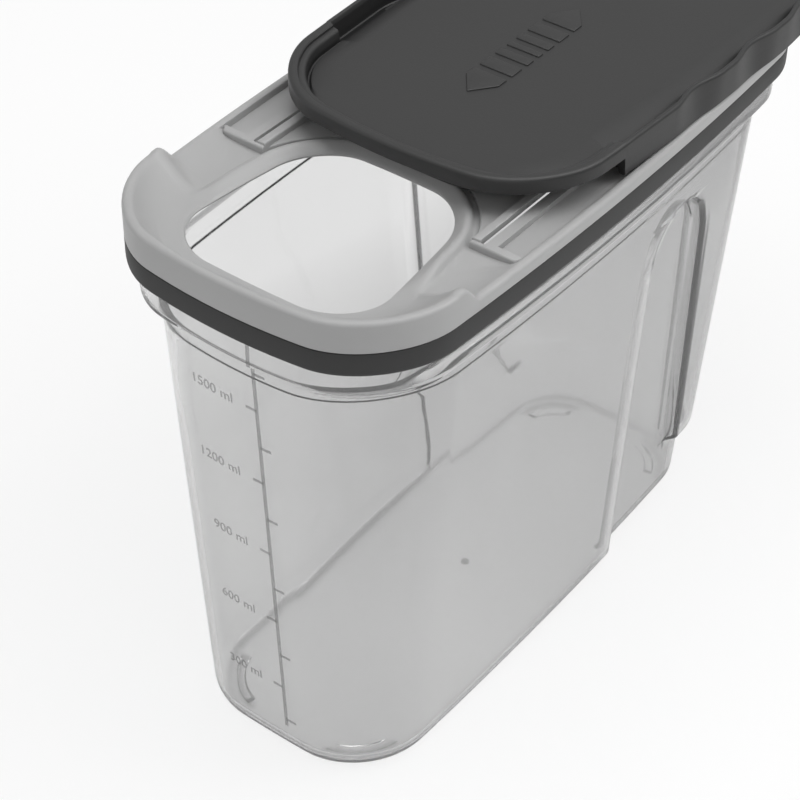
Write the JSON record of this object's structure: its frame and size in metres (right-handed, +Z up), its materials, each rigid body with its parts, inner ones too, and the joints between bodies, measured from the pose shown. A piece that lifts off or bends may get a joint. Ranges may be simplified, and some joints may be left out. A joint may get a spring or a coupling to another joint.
{
  "type": "cereal container",
  "caption": "Slim clear tapered container with a lift-off lid: a rimmed frame with a pouring opening and a flat cover that slides back along the frame.",
  "frame": {"origin": "under the middle of the container's base, on the surface it stands on", "axes": "+Z up, +Y along the container away from the pouring end and the way the cover slides open, +X across"},
  "size_m": [0.096, 0.2594, 0.1702],
  "materials": {
    "clear_plastic": "clear, glossy",
    "pale_plastic": "translucent white, satin",
    "dark_plastic": "dark grey, satin",
    "soft_seal": "pale, soft"
  },
  "bodies": {
    "container": {"container": "clear_plastic"},
    "lid": {"lid_frame": "pale_plastic", "rim_band": "dark_plastic", "lid_seal": "soft_seal"},
    "cover": {"sliding_cover": "dark_plastic", "cover_seal": "soft_seal"}
  },
  "joints": [
    {"name": "lid_lift", "type": "slide", "parent": "container", "child": "lid", "axis": [0, 0, 1], "range_m": [0, 0.1]},
    {"name": "cover_slide", "type": "slide", "parent": "lid", "child": "cover", "axis": [0, 1, 0], "range_m": [-0.06, 0]}
  ]
}
